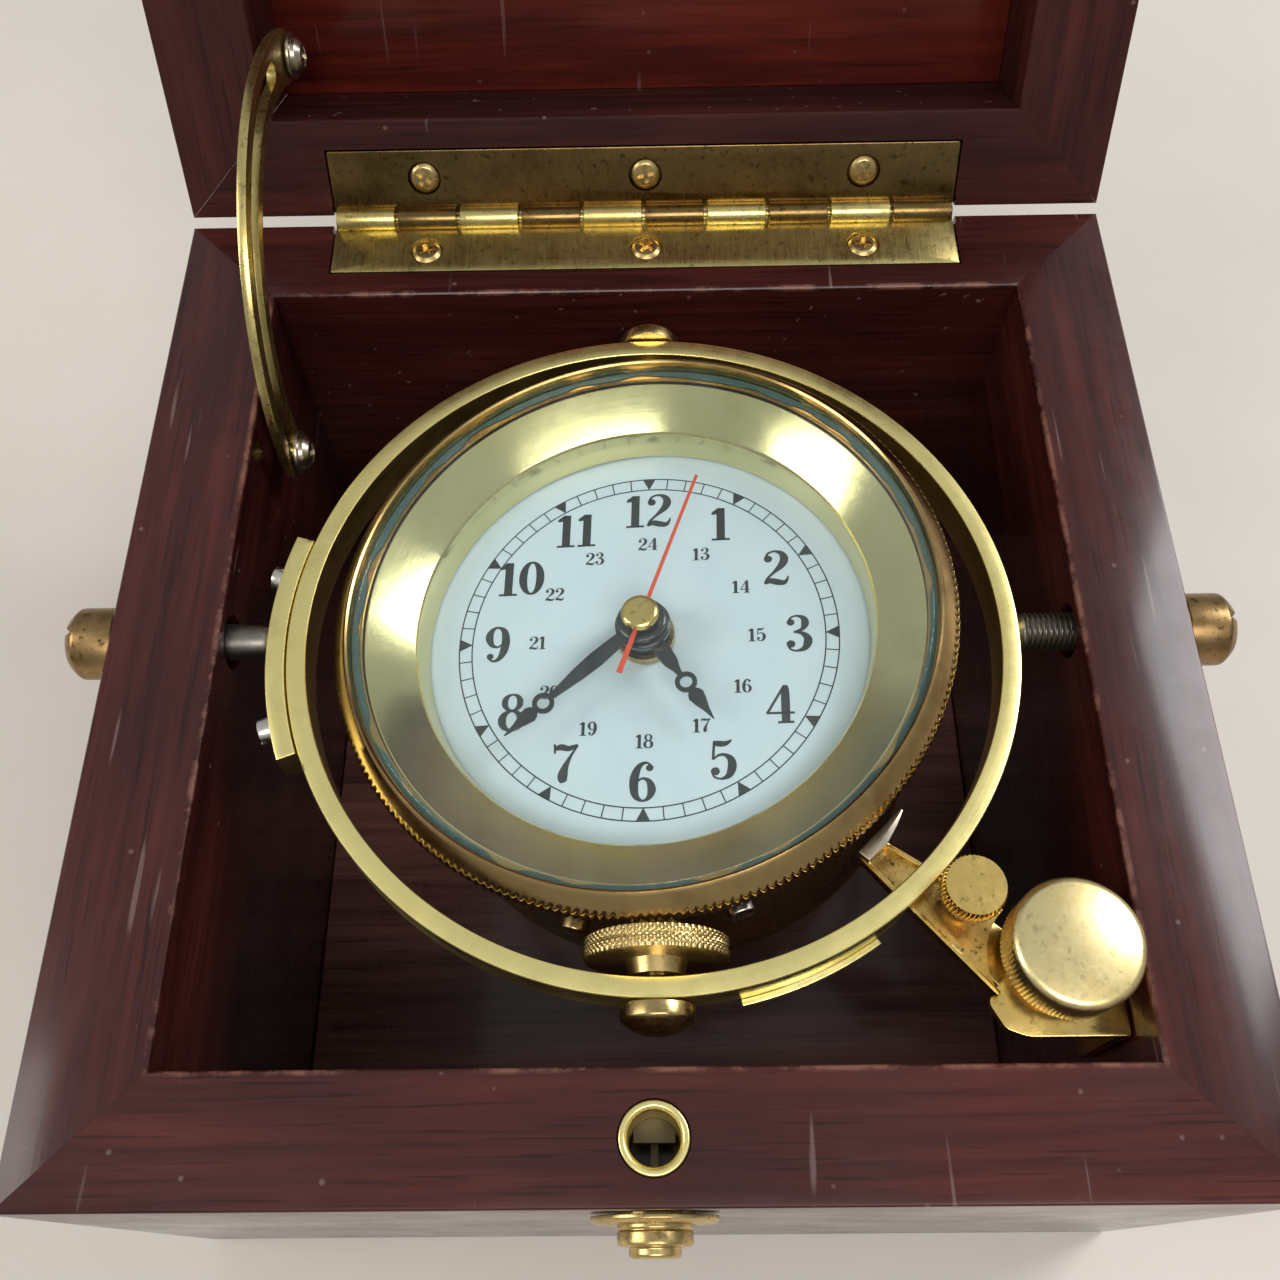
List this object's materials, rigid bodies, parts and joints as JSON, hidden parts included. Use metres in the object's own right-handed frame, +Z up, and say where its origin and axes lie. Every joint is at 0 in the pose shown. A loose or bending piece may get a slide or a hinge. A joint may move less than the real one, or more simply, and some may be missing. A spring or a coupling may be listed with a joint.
{
  "type": "gimballed deck clock",
  "caption": "Quartz deck clock in a brass bowl, hung in a gimbal ring inside a hinged wooden box with a stay, a push latch and a gimbal lock.",
  "frame": {"origin": "middle of the underside of the box", "axes": "+Z up, the box's front faces -Y, the lid's hinge is at +Y"},
  "size_m": [0.1754, 0.2515, 0.233],
  "materials": {
    "mahogany": "gloss lacquer",
    "dark_mahogany": "satin lacquer",
    "brass": "polished, lightly worn",
    "aged_brass": "tarnished",
    "steel": "plated",
    "dark_steel": "oiled",
    "felt": "matte",
    "glass": "clear",
    "dial_white": "satin",
    "black_paint": "gloss",
    "red_paint": "satin",
    "black_plastic": "matte",
    "white_nylon": "satin",
    "copper_winding": "enamelled wire"
  },
  "bodies": {
    "box": {"box_front_wall": "mahogany", "box_back_wall": "mahogany", "box_left_wall": "mahogany", "box_right_wall": "mahogany", "box_floor": "dark_mahogany", "hinge_leaf_box": "aged_brass", "hinge_pin": "aged_brass", "stay_spacer_box": "aged_brass", "stay_screw_box": "steel", "pivot_screw_left": "aged_brass", "pivot_screw_right": "dark_steel", "pivot_washer_left": "felt", "latch_bush": "brass", "latch_plate": "aged_brass", "latch_spring": "steel", "lock_base": "brass"},
    "lid": {"lid_front_rail": "mahogany", "lid_back_rail": "mahogany", "lid_left_rail": "mahogany", "lid_right_rail": "mahogany", "lid_panel": "dark_mahogany", "hinge_leaf_lid": "aged_brass", "catch_stud": "brass", "stay_screw_lid": "steel", "stay_spacer_lid": "aged_brass"},
    "stay": {"stay_arm": "aged_brass"},
    "ring": {"gimbal_ring": "brass", "ring_strap": "brass", "strap_screw_back": "steel", "strap_screw_front": "steel", "bowl_pivot_front": "aged_brass", "bowl_pivot_back": "aged_brass", "ring_wear_strip": "brass"},
    "thumb_nut": {"bowl_thumb_nut": "aged_brass"},
    "bowl": {"clock_bowl": "aged_brass", "reflector_ring": "brass", "dial_plate": "dial_white", "dial_nut": "aged_brass", "movement_case": "black_plastic", "movement_cover": "black_plastic", "battery": "steel", "step_motor": "copper_winding"},
    "bezel": {"bezel_ring": "brass", "glass": "glass"},
    "seconds": {"second_wheel": "white_nylon", "second_hand": "red_paint", "hand_cap": "brass"},
    "third": {"third_wheel": "white_nylon"},
    "minutes": {"minute_wheel": "white_nylon", "minute_hand": "black_paint"},
    "motion": {"motion_wheel": "white_nylon"},
    "hours": {"hour_wheel": "white_nylon", "hour_hand": "black_paint"},
    "latch": {"latch_button": "aged_brass", "latch_bolt": "steel"},
    "lock_arm": {"lock_arm": "brass"},
    "lock_thumbscrew": {"lock_thumbscrew": "brass"},
    "lock_knob": {"lock_knob": "brass"}
  },
  "joints": [
    {"name": "lid_hinge", "type": "hinge", "parent": "box", "child": "lid", "pos_m": [0, 0.0807, 0.08625], "axis": [-1, 0, 0], "range_deg": [-114, 0]},
    {"name": "stay_swing", "type": "hinge", "parent": "lid", "child": "stay", "pos_m": [-0.06, 0.09615, 0.10805], "axis": [-1, 0, 0], "range_deg": [0, 57]},
    {"name": "ring_swing", "type": "hinge", "parent": "box", "child": "ring", "pos_m": [0.0006, 0, 0.0799], "axis": [-1, 0, 0], "range_deg": [-2, 12]},
    {"name": "bowl_swing", "type": "hinge", "parent": "ring", "child": "bowl", "pos_m": [0.0006, 0, 0.0799], "axis": [0, -1, 0], "range_deg": [-6, 12]},
    {"name": "thumb_nut_turn", "type": "hinge", "parent": "ring", "child": "thumb_nut", "pos_m": [0.0006, -0.048, 0.0799], "axis": [0, -1, 0], "range_deg": [0, 180]},
    {"name": "bezel_unscrew", "type": "hinge", "parent": "bowl", "child": "bezel", "pos_m": [-0.00124, 0, 0.08786], "axis": [-0.1045, 0, 0.9945], "range_deg": [0, 60]},
    {"name": "second_spin", "type": "hinge", "parent": "bowl", "child": "seconds", "pos_m": [-0.0004, 0, 0.0799], "axis": [0.1045, 0, -0.9945], "continuous": true},
    {"name": "third_spin", "type": "hinge", "parent": "bowl", "child": "third", "pos_m": [-0.0115, 0, 0.07069], "axis": [0.1045, 0, -0.9945], "continuous": true},
    {"name": "minute_spin", "type": "hinge", "parent": "bowl", "child": "minutes", "pos_m": [-0.0004, 0, 0.0799], "axis": [0.1045, 0, -0.9945], "continuous": true},
    {"name": "motion_spin", "type": "hinge", "parent": "bowl", "child": "motion", "pos_m": [0.00023, 0.01, 0.07393], "axis": [0.1045, 0, -0.9945], "continuous": true},
    {"name": "hour_spin", "type": "hinge", "parent": "bowl", "child": "hours", "pos_m": [-0.0004, 0, 0.0799], "axis": [0.1045, 0, -0.9945], "continuous": true},
    {"name": "latch_press", "type": "slide", "parent": "box", "child": "latch", "axis": [0, 1, 0], "range_m": [0, 0.002], "stiffness_N_per_m": 400, "deforming": ["latch_spring"]},
    {"name": "lock_arm_slide", "type": "slide", "parent": "box", "child": "lock_arm", "axis": [0.7254, -0.6884, 0], "range_m": [-0.0015, 0]},
    {"name": "lock_thumbscrew_turn", "type": "hinge", "parent": "lock_arm", "child": "lock_thumbscrew", "pos_m": [0.04289, -0.04139, 0.086], "axis": [0, 0, 1], "range_deg": [0, 180]},
    {"name": "lock_knob_turn", "type": "hinge", "parent": "box", "child": "lock_knob", "pos_m": [0.05449, -0.0495, 0.086], "axis": [0, 0, 1], "range_deg": [0, 180]}
  ],
  "couplings": [
    {"joint": "stay_swing", "follows": "lid_hinge", "ratio": -0.4915},
    {"joint": "third_spin", "follows": "second_spin", "ratio": -0.13333},
    {"joint": "minute_spin", "follows": "second_spin", "ratio": 0.016667},
    {"joint": "motion_spin", "follows": "second_spin", "ratio": -0.0055556},
    {"joint": "hour_spin", "follows": "second_spin", "ratio": 0.0013889}
  ]
}
